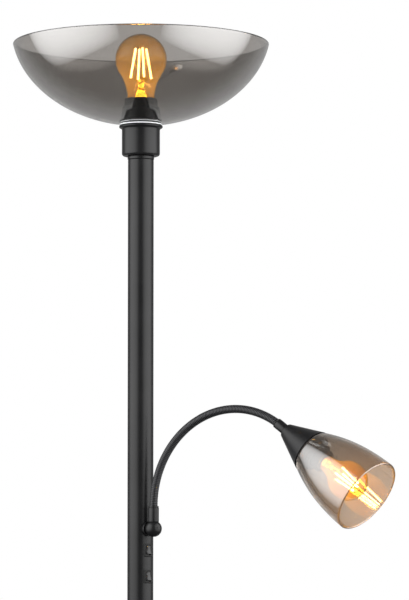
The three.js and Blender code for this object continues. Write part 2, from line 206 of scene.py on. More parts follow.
# %% [markdown]
# The backdrop is white to the eye and straight through glass. Reflections see
# it dimmer, and see the rest of the room as black flags. The backdrop fills the
# directions behind the lamp: its edge is the cosine of the widest one.

# %% Backdrop and room
BACKDROP = 1.0
BACKDROP_MIRRORED = 0.36
BACKDROP_EDGE = 0.35
FLAGS = 0.06
ROOM_FILL = 0.9


def add_world():
    world = bpy.data.worlds.new("studio")
    bpy.context.scene.world = world
    world.use_nodes = True
    tree = world.node_tree
    tree.nodes.clear()
    path = add(tree, "ShaderNodeLightPath")
    # Through glass the backdrop is white along the straight way only: light that
    # was mirrored or scattered on its way sees the dimmer room.
    bounces = add(tree, "ShaderNodeMath", {
        0: path.outputs["Glossy Depth"], 1: path.outputs["Diffuse Depth"],
    }, operation="ADD")
    straight = add(tree, "ShaderNodeMath", {0: bounces.outputs[0]}, {1: 0.5}, operation="LESS_THAN")
    through = add(tree, "ShaderNodeMath", {
        0: path.outputs["Is Transmission Ray"], 1: straight.outputs[0],
    }, operation="MULTIPLY")
    seen = add(tree, "ShaderNodeMath", {
        0: path.outputs["Is Camera Ray"], 1: through.outputs[0],
    }, operation="MAXIMUM")
    way = add(tree, "ShaderNodeTexCoord")
    behind = add(
        tree, "ShaderNodeVectorMath", {0: way.outputs["Generated"]}, {1: -towards_camera},
        operation="DOT_PRODUCT",
    )
    mirrored = add(tree, "ShaderNodeMapRange", {"Value": behind.outputs["Value"]}, {
        "From Min": BACKDROP_EDGE, "From Max": 1.0, "To Min": FLAGS, "To Max": BACKDROP_MIRRORED,
    }, interpolation_type="SMOOTHSTEP")
    # Matt surfaces, above all the floor, also get the even light of a pale room.
    fill = add(
        tree, "ShaderNodeMath", {0: path.outputs["Is Diffuse Ray"]}, {1: ROOM_FILL}, operation="MULTIPLY",
    )
    room = add(tree, "ShaderNodeMath", {
        0: mirrored.outputs["Result"], 1: fill.outputs[0],
    }, operation="MAXIMUM")
    level = add(tree, "ShaderNodeMapRange", {
        "Value": seen.outputs[0], "To Min": room.outputs[0],
    }, {"To Max": BACKDROP})
    sky = add(
        tree, "ShaderNodeBackground", {"Strength": level.outputs["Result"]}, {"Color": (1, 1, 1, 1)},
    )
    add(tree, "ShaderNodeOutputWorld", {"Surface": sky.outputs["Background"]})


add_world()
bpy.context.scene.view_settings.view_transform = "Standard"
print("backdrop", BACKDROP, "to the eye and", BACKDROP_MIRRORED, "in reflections")

# %% [markdown]
# Materials are named for the real stuff and its finish. `srgb` turns a given
# colour into the linear numbers that shaders use. `per_mm` turns the
# real size of a pattern into a texture scale: a noise of scale 1000 has bumps
# about a millimetre wide. One noise can vary colour, roughness and height.

# %% Material helpers


def srgb(code):
    channels = [int(code[i:i + 2], 16) / 255 for i in (0, 2, 4)]
    linear = [c / 12.92 if c <= 0.04045 else ((c + 0.055) / 1.055) ** 2.4 for c in channels]
    return (*linear, 1.0)


def per_mm(size):
    return 1 / (size * MM)


def new_material(name, **values):
    material = bpy.data.materials.new(name)
    material.use_nodes = True
    tree = material.node_tree
    shader = tree.nodes["Principled BSDF"]
    for key, value in values.items():
        shader.inputs[key.replace("_", " ")].default_value = value
    return material, tree, shader


def speckle(tree, size, detail=2.0):
    coords = add(tree, "ShaderNodeTexCoord")
    return add(
        tree, "ShaderNodeTexNoise", {"Vector": coords.outputs["Object"]},
        {"Scale": per_mm(size), "Detail": detail},
    )


def vary_colour(tree, shader, pattern, dark, light):
    ramp = add(tree, "ShaderNodeValToRGB", {"Fac": pattern.outputs["Fac"]})
    ramp.color_ramp.elements[0].position = 0.35
    ramp.color_ramp.elements[1].position = 0.65
    ramp.color_ramp.elements[0].color = srgb(dark)
    ramp.color_ramp.elements[1].color = srgb(light)
    tree.links.new(ramp.outputs["Color"], shader.inputs["Base Color"])


def vary_roughness(tree, shader, pattern, low, high):
    spread = add(
        tree, "ShaderNodeMapRange", {"Value": pattern.outputs["Fac"]},
        {"From Min": 0.3, "From Max": 0.7, "To Min": low, "To Max": high},
    )
    tree.links.new(spread.outputs["Result"], shader.inputs["Roughness"])


def add_bump(tree, shader, pattern, depth, strength):
    bump = add(
        tree, "ShaderNodeBump", {"Height": pattern.outputs["Fac"]},
        {"Distance": depth * MM, "Strength": strength},
    )
    tree.links.new(bump.outputs["Normal"], shader.inputs["Normal"])


print("a pattern 1 mm wide has the texture scale", round(per_mm(1)))

# %% [markdown]
# Powder coat is a plastic dust baked onto steel. It flows into a satin skin with
# a faint orange peel about a millimetre wide, so highlights have soft edges and
# the black is never quite even.

# %% Powder coat, moulded plastic and black oxide


def powder_coat():
    material, tree, shader = new_material("powder_coat_satin_black", Specular_IOR_Level=0.34)
    cloud = speckle(tree, 35)
    vary_colour(tree, shader, cloud, "111112", "161617")
    peel = speckle(tree, 1.1, detail=3)
    vary_roughness(tree, shader, peel, 0.28, 0.36)
    add_bump(tree, shader, peel, 0.02, 0.35)
    return material


def moulded_black(name, dark, light, low, high):
    # Phenolic and ABS mouldings have a fine even grain from the tool.
    material, tree, shader = new_material(name)
    grain = speckle(tree, 0.5, detail=4)
    vary_colour(tree, shader, speckle(tree, 12), dark, light)
    vary_roughness(tree, shader, grain, low, high)
    add_bump(tree, shader, grain, 0.02, 0.3)
    return material


def black_oxide():
    # The gooseneck's wound steel is blackened. Its crests are painted lighter, partly as wear from
    # handling and partly as a painted highlight, and its valleys darker as painted shade.
    material, tree, shader = new_material("gooseneck_blackened_steel", Metallic=0.35)
    crest = add(tree, "ShaderNodeAttribute", attribute_name="crest")
    ramp = add(tree, "ShaderNodeValToRGB", {"Fac": crest.outputs["Fac"]})
    ramp.color_ramp.elements[0].position = 0.45
    ramp.color_ramp.elements[0].color = srgb("0a0a0b")
    ramp.color_ramp.elements[1].color = srgb("3a3a3d")
    tree.links.new(ramp.outputs["Color"], shader.inputs["Base Color"])
    vary_roughness(tree, shader, speckle(tree, 1.5, detail=3), 0.3, 0.42)
    return material


coat = powder_coat()
plastic = moulded_black("moulded_thermoplastic_black", "161617", "1c1c1e", 0.38, 0.5)
bezel_plastic = moulded_black("matt_switch_frame_black", "060606", "0a0a0a", 0.6, 0.7)
rocker_plastic = moulded_black("polished_switch_rocker_black", "0c0c0d", "121213", 0.12, 0.2)
oxide = black_oxide()
print("made", coat.name, plastic.name, bezel_plastic.name, rocker_plastic.name, oxide.name)

# %% [markdown]
# The glass is smoked and half mirrored: a thin metal film passes about a third
# of the light through each wall, so one wall looks pale grey and two walls look
# brown. The film is drawn as a clear coat with a high index, which gives the
# mirror share, over a grey glass. The small shade has a thinner, rosier film, and
# its inside gets a painted gold glow that stands in for the bulb's light on it.

# %% Glass


def smoked_glass(name, dark, light, clearness):
    material, tree, shader = new_material(
        name, Transmission_Weight=clearness, IOR=1.5, Coat_Weight=1.0,
        Coat_IOR=2.1, Coat_Roughness=0.02, Specular_IOR_Level=0.5,
    )
    # The sprayed film is a little thicker in places, which the eye reads as depth.
    vary_colour(tree, shader, speckle(tree, 90), dark, light)
    vary_roughness(tree, shader, speckle(tree, 6), 0.0, 0.02)
    return material


def painted_glow_by_attribute(tree, shader, colour):
    shader.inputs["Emission Color"].default_value = srgb(colour)
    near = add(tree, "ShaderNodeAttribute", attribute_name="glow")
    tree.links.new(near.outputs["Fac"], shader.inputs["Emission Strength"])


def amber_glass():
    material, tree, shader = new_material(
        "amber_bulb_glass", Transmission_Weight=1.0, IOR=1.45,
        Coat_Weight=0.3, Coat_Roughness=0.02,
    )
    # A painted glow in the glass, brightest round the sticks' feet, stands in for the glare of the lit
    # sticks.
    painted_glow_by_attribute(tree, shader, "ffbe48")
    vary_colour(tree, shader, speckle(tree, 25), "f6d294", "fadeac")
    vary_roughness(tree, shader, speckle(tree, 4), 0.0, 0.02)
    return material


def stem_glass():
    material, tree, shader = new_material(
        "clear_lead_glass", Transmission_Weight=1.0, IOR=1.55, Emission_Color=srgb("ffc24c"),
    )
    # Painted sparks: glowing spots about 2 mm across stand in for the sticks' light glinting in the
    # pressed facets.
    painted_spark = add(tree, "ShaderNodeMapRange", {"Value": speckle(tree, 3.2).outputs["Fac"]}, {
        "From Min": 0.5, "From Max": 0.6, "To Min": 0.1, "To Max": 9.0,
    })
    tree.links.new(painted_spark.outputs["Result"], shader.inputs["Emission Strength"])
    vary_colour(tree, shader, speckle(tree, 3), "f6ecd8", "ffffff")
    vary_roughness(tree, shader, speckle(tree, 2), 0.0, 0.05)
    return material


smoke = smoked_glass("smoked_half_mirror_glass", "a49f9a", "aaa6a2", 0.985)
light_smoke = smoked_glass("light_smoked_half_mirror_glass", "beb1a4", "c8bbad", 0.92)
# The shade's inner skin gets a painted gold glow, in place of the bulb's light on it.
painted_glow_by_attribute(light_smoke.node_tree, light_smoke.node_tree.nodes["Principled BSDF"], "ffa800")
amber = amber_glass()
clear = stem_glass()
print("made", smoke.name, light_smoke.name, amber.name, clear.name)

# %% [markdown]
# The lit sticks are LED chips under a yellow phosphor gel, bright enough to
# clip to white. The metals keep their default index: zinc plate on fasteners is
# grey and faintly blotched, nickel on the caps is warmer and smoother.

# %% Filament and metals
METAL_BLOTCH = 8
METAL_GRAIN = 0.6


def led_phosphor():
    material, tree, shader = new_material(
        "led_phosphor_gel", Roughness=0.5, Emission_Strength=60.0,
    )
    glow = add(tree, "ShaderNodeValToRGB", {"Fac": speckle(tree, 1.2).outputs["Fac"]})
    glow.color_ramp.elements[0].color = srgb("ffdc94")
    glow.color_ramp.elements[1].color = srgb("fff0c8")
    tree.links.new(glow.outputs["Color"], shader.inputs["Emission Color"])
    shader.inputs["Base Color"].default_value = srgb("f5d06a")
    return material


def metal(name, dark, light, low, high):
    material, tree, shader = new_material(name, Metallic=1.0)
    vary_colour(tree, shader, speckle(tree, METAL_BLOTCH), dark, light)
    fine = speckle(tree, METAL_GRAIN, detail=4)
    vary_roughness(tree, shader, fine, low, high)
    add_bump(tree, shader, fine, 0.01, 0.3)
    return material


phosphor = led_phosphor()
zinc = metal("zinc_plated_steel", "9a9ea2", "b4b7b9", 0.28, 0.42)
nickel = metal("nickel_plated_brass", "b3ab98", "c9c3b4", 0.16, 0.28)
wire = metal("molybdenum_wire", "a8a49c", "c2beb6", 0.2, 0.3)
print("made", phosphor.name, zinc.name, nickel.name, wire.name)

# %% [markdown]
# The last finishes are the humble ones: rough iron in the foot, pressed felt
# under it, rubber at the inlet, clear silicone under the bowl, and PVC on the
# leads. Felt fibres are too fine to show from here, so they are drawn 0.6 mm
# wide.

# %% Iron, felt, rubber, silicone and PVC


def simple(name, dark, light, low, high, size, depth, **values):
    material, tree, shader = new_material(name, **values)
    pattern = speckle(tree, size, detail=5)
    vary_colour(tree, shader, pattern, dark, light)
    vary_roughness(tree, shader, pattern, low, high)
    add_bump(tree, shader, pattern, depth, 0.6)
    return material


iron = simple("sand_cast_iron", "2c2b2a", "45423f", 0.7, 0.9, 2.5, 0.4, Metallic=0.5)
felt = simple("pressed_wool_felt", "191919", "2c2c2b", 0.9, 1.0, 0.6, 0.3, Sheen_Weight=0.3)
rubber = simple("moulded_rubber", "141414", "1d1d1d", 0.6, 0.75, 0.8, 0.03)
silicone = simple("clear_silicone", "e4e7ea", "f4f6f7", 0.12, 0.2, 3.0, 0.01, Coat_Weight=0.5)
pvc = simple("extruded_pvc_white", "dedbd4", "ebe9e3", 0.35, 0.45, 2.0, 0.02)
print("made", iron.name, felt.name, rubber.name, silicone.name, pvc.name)

# %% [markdown]
# Nearly everything on a lamp is turned or spun, so most pieces start as half an
# outline. `arc` gives round corners and `sweep` gives free curves. `eased`
# rounds each corner that is left, because a real edge always has a small radius
# and the highlight on it is what makes metal look like metal.

# %% Outlines
EDGE_STEPS = 3


def arc(r, z, radius, start, end, steps=8):
    angles = [math.radians(start + (end - start) * i / steps) for i in range(steps + 1)]
    return [(r + radius * math.cos(a), z + radius * math.sin(a)) for a in angles]


def sweep(a, b, c, d, steps=16):
    points = []
    for i in range(steps + 1):
        t = i / steps
        weights = ((1 - t) ** 3, 3 * (1 - t) ** 2 * t, 3 * (1 - t) * t * t, t ** 3)
        points.append(tuple(sum(w * p[k] for w, p in zip(weights, (a, b, c, d))) for k in (0, 1)))
    return points


def eased(outline, radius):
    count = len(outline)
    result = []
    for i, corner in enumerate(outline):
        point = Vector(corner)
        before = Vector(outline[i - 1]) - point
        after = Vector(outline[(i + 1) % count]) - point
        if point.x < 1e-6 or before.length < 1e-6 or after.length < 1e-6:
            result.append(corner)
            continue
        if math.pi - before.angle(after) < math.radians(20):
            result.append(corner)
            continue
        cut = min(radius, before.length * 0.45, after.length * 0.45)
        start = point + before.normalized() * cut
        end = point + after.normalized() * cut
        for k in range(EDGE_STEPS + 1):
            t = k / EDGE_STEPS
            result.append(tuple(start * (1 - t) ** 2 + point * 2 * t * (1 - t) + end * t * t))
    return result


print("a quarter round is drawn with", len(arc(0, 0, 1, 0, 90)), "points")

# %% [markdown]
# `turned_mesh` turns an outline into a solid. The outline runs up the outside
# and down the inside, so a hollow piece gets its wall as well. `to_object` puts
# the piece's place into its mesh and leaves the object itself at the origin.

# %% Turned solids
SHARP_ANGLE = 40


def turned_mesh(outline, sides):
    shape = bmesh.new()
    rings = []
    for r, z in outline:
        if r < 1e-6:
            rings.append([shape.verts.new((0, 0, z * MM))] * sides)
            continue
        angles = [2 * math.pi * k / sides for k in range(sides)]
        points = [(r * MM * math.cos(a), r * MM * math.sin(a), z * MM) for a in angles]
        rings.append([shape.verts.new(point) for point in points])
    on_axis = outline[0][0] < 1e-6
    pairs = list(zip(rings, rings[1:]))
    if not on_axis:
        pairs.append((rings[-1], rings[0]))
    for low, high in pairs:
        for k in range(sides):
            following = (k + 1) % sides
            corners = [low[k], low[following], high[following], high[k]]
            unique = list(dict.fromkeys(corners))
            if len(unique) > 2:
                shape.faces.new(unique)
    bmesh.ops.recalc_face_normals(shape, faces=shape.faces)
    return shape


def smooth(mesh, angle=SHARP_ANGLE):
    for polygon in mesh.polygons:
        polygon.use_smooth = True
    mesh.set_sharp_from_angle(angle=math.radians(angle))


def to_object(shape, name, material, place=None):
    mesh = bpy.data.meshes.new(name)
    shape.to_mesh(mesh)
    shape.free()
    if place is not None:
        mesh.transform(place)
    mesh.materials.append(material)
    smooth(mesh)
    piece = bpy.data.objects.new(name, mesh)
    bpy.context.scene.collection.objects.link(piece)
    return piece


def turned(name, outline, material, sides=64, ease=0.3, place=None):
    return to_object(turned_mesh(eased(outline, ease), sides), name, material, place)


print("edges sharper than", SHARP_ANGLE, "degrees stay crisp")

# %% [markdown]
# Each finished piece is tied to the frame. It rides on a body, so it moves with
# the right joint, and it names the CAD nodes that it stands for, which are then
# hidden.

# %% Fitting a piece


def fit(piece, body, slot, *nodes):
    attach(piece, body)
    if nodes:
        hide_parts(*nodes)
    print(piece.name, "has", len(piece.data.polygons), "faces and rides on", body)
    return piece


print("the frame has", len(frame["nodes"]), "CAD nodes to fit pieces to")

# %% [markdown]
# The foot is a thin steel pressing over a cast weight, which keeps a lamp this
# tall from tipping. Its edge is drawn in one round bend. The cord's inlet is a
# hole through its side, cut with a Boolean modifier. A modifier is only a
# recipe, so `apply_modifiers` keeps its result as the mesh.

# %% Foot cover
FOOT_BEND = 10
FOOT_SHEET = 1.2
FOOT_FLAT = 60
GROMMET_HOLE = 4.6
CUTTER_REACH = 10


def foot_cover():
    bottom, top, radius = span("base_cover")
    hole = span("base_stud")[2] + 0.3
    bend = radius - FOOT_BEND
    shoulder = top - FOOT_BEND
    outline = [(radius, bottom), *arc(bend, shoulder, FOOT_BEND, 0, 90, 14)]
    outline += [(FOOT_FLAT, top), (hole, top)]
    outline += [(hole, top - FOOT_SHEET), *arc(bend, shoulder, FOOT_BEND - FOOT_SHEET, 90, 0, 14)]
    outline += [(radius - FOOT_SHEET, bottom)]
    return turned("foot_cover", outline, coat, sides=192, ease=0.5)


def inlet_cutter():
    low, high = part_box("cable_grommet")
    skin = -span("base_cover")[2]
    outline = [(0, -CUTTER_REACH), (GROMMET_HOLE, -CUTTER_REACH)]
    outline += [(GROMMET_HOLE, CUTTER_REACH), (0, CUTTER_REACH)]
    turn = Matrix.Rotation(math.pi / 2, 4, "Y")
    place = Matrix.Translation((skin * MM, 0, (low[2] + high[2]) / 2)) @ turn
    return to_object(turned_mesh(outline, 48), "inlet_cutter", coat, place)


def apply_modifiers(piece):
    graph = bpy.context.evaluated_depsgraph_get()
    mesh = bpy.data.meshes.new_from_object(piece.evaluated_get(graph))
    piece.modifiers.clear()
    piece.data = mesh


def drill(piece, tool):
    cut = piece.modifiers.new("cut", "BOOLEAN")
    cut.operation = "DIFFERENCE"
    cut.solver = "EXACT"
    cut.object = tool
    apply_modifiers(piece)
    bpy.data.objects.remove(tool)


cover = foot_cover()
drill(cover, inlet_cutter())
fit(cover, "stand", "powder_coat", "base_cover")

# %% [markdown]
# A felt pad saves the floor, a collar covers the foot of the pole, and a rubber
# grommet lines the inlet, with a groove that grips the sheet. A turned outline
# is the plain way to make all three.

# %% Pad, collar and grommet


def foot_pad():
    bottom, top, radius = span("base_pad")
    outline = [(0, bottom), (radius, bottom), (radius, top), (0, top)]
    return turned("foot_pad", outline, felt, sides=128, ease=0.8)


def foot_collar():
    bottom, top, radius = span("pole_foot_collar")
    hole = span("base_stud")[2] + 0.3
    outline = [(radius, bottom), (radius, top - 3), (radius - 1.6, top - 1), (POLE_RADIUS + 2, top)]
    return turned("foot_collar", [*outline, (hole, top), (hole, bottom)], coat, sides=96, ease=0.8)


def grommet():
    low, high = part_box("cable_grommet")
    middle = (Vector(low) + Vector(high)) / 2
    skin = -span("base_cover")[2]
    outline = [(6.6, -3.6), (6.6, -1.8), (4.2, -1.8), (4.2, 0.3)]
    outline += [(6.6, 0.3), (6.1, 2.2), (3, 2.4), (3, -3.6)]
    place = Matrix.Translation((skin * MM, 0, middle.z)) @ Matrix.Rotation(-math.pi / 2, 4, "Y")
    return turned("inlet_grommet", outline, rubber, sides=48, place=place)


fit(foot_pad(), "stand", "felt", "base_pad")
fit(foot_collar(), "stand", "powder_coat", "pole_foot_collar")
fit(grommet(), "stand", "rubber", "cable_grommet")

# %% [markdown]
# The pole is three steel tubes. Their ends are lightly chamfered, so each joint
# shows as a fine line. The tubes are spun with enough sides for the long
# highlight to run straight.

# %% Pole
POLE_WALL = 1.5
CHAMFER = 0.35


def tube(name, node):
    bottom, top, radius = span(node)
    inner = radius - POLE_WALL
    outline = [
        (radius - CHAMFER, bottom), (radius, bottom + CHAMFER), (radius, top - CHAMFER),
        (radius - CHAMFER, top), (inner, top), (inner, bottom),
    ]
    return turned(name, outline, coat, sides=128, ease=0.1)


for level in ("bottom", "middle", "top"):
    fit(tube(f"tube_{level}", f"pole_{level}"), "stand", "powder_coat", f"pole_{level}")


def top_collar():
    bottom, top, radius = span("pole_top_collar")
    hole = span("head_nipple")[2] + 0.3
    outline = [(radius, bottom), (radius, top), (hole, top), (hole, bottom)]
    return turned("top_collar", outline, coat, ease=0.7)


fit(top_collar(), "stand", "powder_coat", "pole_top_collar")

# %% [markdown]
# The cup hides the wiring under the bowl. It is spun from sheet: a small round
# at the bottom, straight sides, and a lip rolled outwards that the glass sits
# on, over a clear silicone ring.

# %% Cup and gasket
CUP_WALL = 1.2
LIP = 1.7


def cup():
    bottom, top, flange = span("socket_cup")
    radius = flange - 3.3
    hole = span("head_nipple")[2] + 0.3
    outline = arc(radius - 3, bottom + 3, 3, -90, 0, 8)
    outline += sweep(
        (radius, top - 6.5), (radius, top - 4), (radius + 1.2, top - 3.6), (flange - LIP, top - 3.4), 8,
    )
    outline += arc(flange - LIP, top - LIP, LIP, -80, 90, 12)
    outline += [(radius - CUP_WALL, top), (radius - CUP_WALL, bottom + CUP_WALL)]
    outline += [(hole, bottom + CUP_WALL), (hole, bottom)]
    return turned("socket_cup_shell", outline, coat, sides=96, ease=0.4)


def gasket():
    bottom, top, radius = span("bowl_gasket")
    inner = radius - 4.4
    outline = [(radius, bottom), (radius, top), (inner, top - 0.5), (inner, bottom)]
    return turned("bowl_seal", outline, silicone, sides=96, ease=0.5)


fit(cup(), "stand", "powder_coat", "socket_cup")
fit(gasket(), "stand", "silicone", "bowl_gasket")

# %% [markdown]
# Inside the bowl a rubber washer and a black cone press the glass down, and a
# ring nut on the lampholder's thread pulls the stack together. The nut has grip
# ribs all round: they repeat, so Geometry Nodes set them out on a circle.

# %% Washer, cone and lampholder
HOLDER_INSIDE = 15.2
HOLDER_FLOOR = 10.5
HOLDER_HOLE = 5.3


def holder_cone():
    bottom, top, radius = span("bowl_holder_cone")
    bore = span("main_lampholder")[2] + 0.3
    outline = [(radius, bottom), (radius, bottom + 0.8), (radius - 2.4, top), (bore, top), (bore, bottom)]
    return turned("bowl_cone", outline, coat, sides=96, ease=0.4)


def holder_washer():
    bottom, top, radius = span("bowl_washer")
    bore = span("main_lampholder")[2] + 0.3
    outline = [(radius, bottom), (radius, top), (bore, top), (bore, bottom)]
    return turned("bowl_pressure_washer", outline, rubber, sides=96)


def main_lampholder():
    bottom, top, radius = span("main_lampholder")
    floor = bottom + HOLDER_FLOOR
    outline = [(radius, bottom), (radius, top), (HOLDER_INSIDE, top), (HOLDER_INSIDE, floor)]
    outline += [(HOLDER_HOLE, floor), (HOLDER_HOLE, bottom)]
    return turned("lampholder_large", outline, plastic, sides=96, ease=0.5)


fit(holder_cone(), "stand", "powder_coat", "bowl_holder_cone")
fit(holder_washer(), "stand", "rubber", "bowl_washer")
fit(main_lampholder(), "stand", "black_plastic", "main_lampholder")

# %% [markdown]
# The grip ribs are one rounded bar, copied to the points of a circle. The tree
# takes the count, the radius and the bar's size as inputs, ends in Realize
# Instances and Set Material, and the result is kept as a plain mesh and joined
# to the turned ring.

# %% Grip rib tree


def start_tree(name, sizes):
    group = bpy.data.node_groups.new(name, "GeometryNodeTree")
    for label, kind, value in (*sizes, ("Finish", "Material", None)):
        item = group.interface.new_socket(label, in_out="INPUT", socket_type="NodeSocket" + kind)
        if value is not None:
            item.default_value = value
    group.interface.new_socket("Geometry", in_out="OUTPUT", socket_type="NodeSocketGeometry")
    return group, add(group, "NodeGroupInput")


def end_tree(group, given, geometry):
    real = add(group, "GeometryNodeRealizeInstances", {"Geometry": geometry})
    finish = add(group, "GeometryNodeSetMaterial", {
        "Geometry": real.outputs["Geometry"], "Material": given.outputs["Finish"],
    })
    add(group, "NodeGroupOutput", {"Geometry": finish.outputs["Geometry"]})
    return group


def rib_tree():
    group, given = start_tree("grip_ribs", [
        ("Rib Count", "Int", 24), ("Ring Radius", "Float", 0.019), ("Rib Width", "Float", 0.0012),
        ("Rib Height", "Float", 0.008), ("Ring Height", "Float", 0.0),
    ])
    circle = add(group, "GeometryNodeMeshCircle", {
        "Vertices": given.outputs["Rib Count"], "Radius": given.outputs["Ring Radius"],
    })
    bar = add(group, "GeometryNodeMeshCylinder", {
        "Radius": given.outputs["Rib Width"], "Depth": given.outputs["Rib Height"],
    }, {"Vertices": 10, "Side Segments": 1, "Fill Segments": 1})
    lift = add(group, "ShaderNodeCombineXYZ", {"Z": given.outputs["Ring Height"]})
    placed = add(group, "GeometryNodeTransform", {
        "Geometry": bar.outputs["Mesh"], "Translation": lift.outputs["Vector"],
    })
    copies = add(group, "GeometryNodeInstanceOnPoints", {
        "Points": circle.outputs["Mesh"], "Instance": placed.outputs["Geometry"],
    })
    return end_tree(group, given, copies.outputs["Instances"])


grip_ribs = rib_tree()
print("grip rib tree has", len(grip_ribs.nodes), "nodes")

# %% [markdown]
# A tree does its work as a modifier on an object. `grow` sets the tree's inputs,
# keeps the result as a plain mesh and drops the object that carried it. The
# ribs need no shape to start from, so they grow on an empty mesh. `ring_nut`
# joins them to a turned ring.

# %% Ring nut


def grow(name, group, values, carrier=None):
    piece = carrier
    if piece is None:
        piece = bpy.data.objects.new(name, bpy.data.meshes.new(name + "_seed"))
        bpy.context.scene.collection.objects.link(piece)
    modifier = piece.modifiers.new(name, "NODES")
    modifier.node_group = group
    for item in group.interface.items_tree:
        if item.in_out == "INPUT" and item.name in values:
            modifier[item.identifier] = values[item.name]
    graph = bpy.context.evaluated_depsgraph_get()
    made = bpy.data.meshes.new_from_object(piece.evaluated_get(graph))
    bpy.data.objects.remove(piece)
    result = bpy.data.objects.new(name, made)
    bpy.context.scene.collection.objects.link(result)
    return result


def join_into(piece, *others):
    shape = bmesh.new()
    for part in (piece, *others):
        shape.from_mesh(part.data)
    shape.to_mesh(piece.data)
    shape.free()
    for other in others:
        bpy.data.objects.remove(other)
    smooth(piece.data)
    return piece


def ring_nut(name, outline, count, radius, width, height, middle, place=None):
    body = turned(name, outline, plastic, sides=96, ease=0.3)
    values = {"Rib Count": count, "Ring Radius": radius * MM, "Rib Width": width * MM,
              "Rib Height": height * MM, "Ring Height": middle * MM, "Finish": plastic}
    join_into(body, grow(name + "_ribs", grip_ribs, values))
    if place is not None:
        body.data.transform(place)
    return body


nut_bottom, nut_top, nut_radius = span("ring_nut")
bore = span("main_lampholder")[2] + 0.3
nut_outline = [
    (nut_radius, nut_bottom), (nut_radius, nut_bottom + 1.5), (nut_radius - 3.4, nut_bottom + 2.1),
    (nut_radius - 3.4, nut_top), (bore, nut_top), (bore, nut_bottom),
]
main_nut = ring_nut("bowl_ring_nut", nut_outline, 30, nut_radius - 3.5, 0.75, 7.6, nut_bottom + 6.6)
fit(main_nut, "stand", "black_plastic", "ring_nut")

# %% [markdown]
# The bowl is blown into a mould as the lower part of a flattened ball, then cut
# and fire-polished, so its rim is a soft round bead. The curve is an ellipse,
# worked out by a formula and hung from the rim's height in the frame.

# %% Glass bowl
BOWL_WALL = 3
BOWL_SEMI_WIDTH = 152
BOWL_SEMI_HEIGHT = 115
BOWL_DEPTH = 96
BOWL_HOLE = 20.5
BOWL_STEPS = 56


def ellipse_wall(width, height, centre, top, inner_radius, steps):
    start = -math.acos(inner_radius / width)
    end = -math.asin((centre - top) / height)
    angles = [start + (end - start) * i / steps for i in range(steps + 1)]
    return [(width * math.cos(a), centre + height * math.sin(a)) for a in angles]


def bowl():
    centre = RIM_HEIGHT - BOWL_DEPTH + BOWL_SEMI_HEIGHT
    lip = BOWL_WALL / 2
    walls = []
    for sunk in (0, BOWL_WALL):
        width, height = BOWL_SEMI_WIDTH - sunk, BOWL_SEMI_HEIGHT - sunk
        walls.append(ellipse_wall(width, height, centre, RIM_HEIGHT - lip, BOWL_HOLE, BOWL_STEPS))
    outside, inside = walls
    middle = (outside[-1][0] + inside[-1][0]) / 2
    half = (outside[-1][0] - inside[-1][0]) / 2
    angles = [math.pi * k / 8 for k in range(1, 8)]
    bead = [(middle + half * math.cos(a), RIM_HEIGHT - lip + lip * math.sin(a)) for a in angles]
    outline = [*outside, *bead, *reversed(inside)]
    return to_object(turned_mesh(outline, 192), "bowl_glass", smoke)


fit(bowl(), "stand", "smoked_glass", "glass_bowl")

# %% [markdown]
# A filament bulb is a glass ball on a flared neck. Inside, a pressed glass stem
# carries wires, and four straight LED sticks lean together at the top. Each
# bulb is made by the same functions, once upright and once in the arm's head,
# so the sizes are arguments. The glass carries a painted glow, strongest round
# the sticks' feet, which stands in for the glare of the lit sticks.

# %% Bulb glass
BULB_WALL = 0.8
PAINTED_GLOW_LOW = 0.03
PAINTED_GLOW_HIGH = 0.46
PAINTED_GLOW_CENTRE = 0.62


def bulb_glass(name, radius, centre, neck, start, angle, place=None):
    def wall_points(ball, throat):
        a = math.radians(angle)
        meet = (ball * math.cos(a), centre + ball * math.sin(a))
        handle = radius / 3
        before = (meet[0] + handle * math.sin(a), meet[1] - handle * math.cos(a))
        lower = sweep((throat, start), (throat + 0.6, start + handle * 1.2), before, meet, 14)
        return lower[:-1] + arc(0, centre, ball, angle, 90, 28)[:-1]

    outside = wall_points(radius, neck) + [(0, centre + radius)]
    inside = [(0, centre + radius - BULB_WALL)]
    inside += wall_points(radius - BULB_WALL, neck - BULB_WALL)[::-1]
    piece = to_object(turned_mesh(inside + outside, 96), name, amber)
    # The "glow" attribute is a painted glow, brightest round the sticks' feet.
    glow = piece.data.attributes.new("glow", "FLOAT", "POINT")
    feet = start + PAINTED_GLOW_CENTRE * radius
    for vertex, item in zip(piece.data.vertices, glow.data):
        away = (vertex.co.z / MM - feet) / radius
        item.value = PAINTED_GLOW_LOW + (PAINTED_GLOW_HIGH - PAINTED_GLOW_LOW) * math.exp(-away * away)
    if place is not None:
        piece.data.transform(place)
    return piece


print("bulb glass is", BULB_WALL, "mm thick")

# %% [markdown]
# Sticks and wires are both thin rods between two points, so one helper draws
# them. A stick has its ends rounded over, as its gel has, and a wire is cut
# straight. `cage_points` sets the rods' ends on two circles about the axis.

# %% Sticks and wires
STICK_COUNT = 4
WIRE_RADIUS = 0.3
TIP_WIRE_RADIUS = 0.25


def rod_between(shape, start, end, radius, sides, rounded):
    axis = end - start
    turn = axis.to_track_quat("Z", "Y").to_matrix().to_4x4()
    rings = [(radius, 0), (radius, axis.length)]
    if rounded:
        rings = [(radius * 0.6, 0), (radius, radius * 0.5), (radius, axis.length - radius * 0.5),
                 (radius * 0.6, axis.length)]
    loops = []
    for r, z in rings:
        loop = []
        for k in range(sides):
            a = 2 * math.pi * k / sides
            loop.append(shape.verts.new(start + turn @ Vector((r * math.cos(a), r * math.sin(a), z))))
        loops.append(loop)
    for low, high in zip(loops, loops[1:]):
        for k in range(sides):
            shape.faces.new([low[k], low[(k + 1) % sides], high[(k + 1) % sides], high[k]])
    shape.faces.new(loops[0][::-1])
    shape.faces.new(loops[-1])


